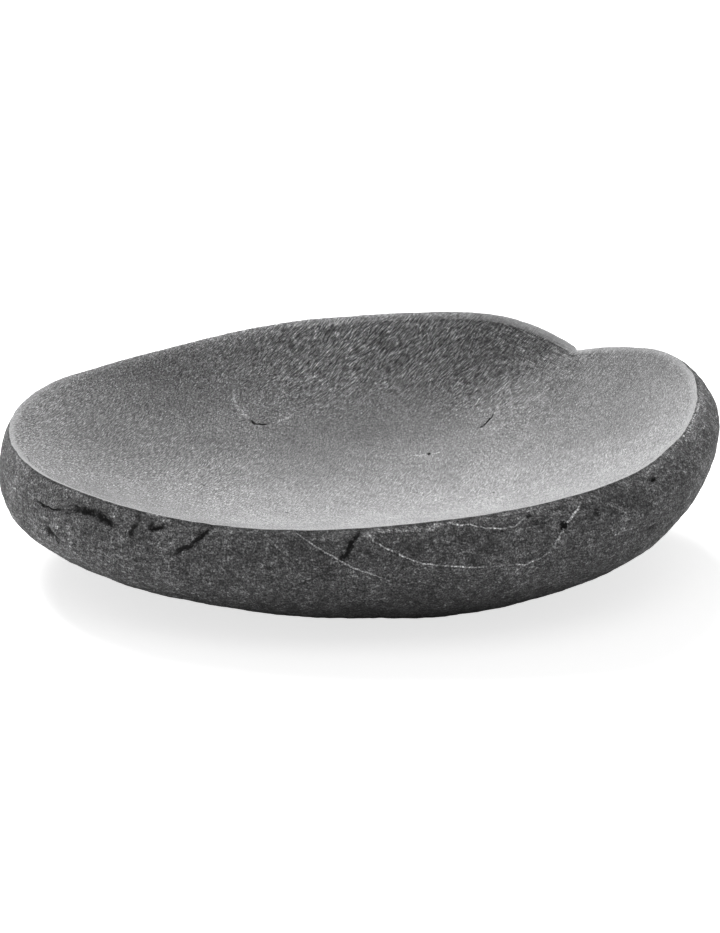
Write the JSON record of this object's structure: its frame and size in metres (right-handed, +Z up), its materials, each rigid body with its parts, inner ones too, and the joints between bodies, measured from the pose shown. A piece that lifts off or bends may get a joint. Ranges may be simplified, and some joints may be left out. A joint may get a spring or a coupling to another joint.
{
  "type": "carved stone dish",
  "caption": "Shallow dish ground into a natural dark river cobble, with a raised back wall and a cleft in its rim, standing on small rubber feet.",
  "frame": {"origin": "on the standing surface, under the middle of the dish's overall length and depth", "axes": "+Z up, +X along the length towards the wide lobe of the rim, -Y towards the low front rim and +Y towards the high back wall"},
  "size_m": [0.3, 0.204, 0.0774],
  "materials": {
    "basalt": "matte",
    "rubber": "matte"
  },
  "bodies": {
    "root": {"stone_dish": "basalt", "rubber_foot_front_left": "rubber", "rubber_foot_front_right": "rubber", "rubber_foot_back_left": "rubber", "rubber_foot_back_right": "rubber"}
  },
  "joints": []
}
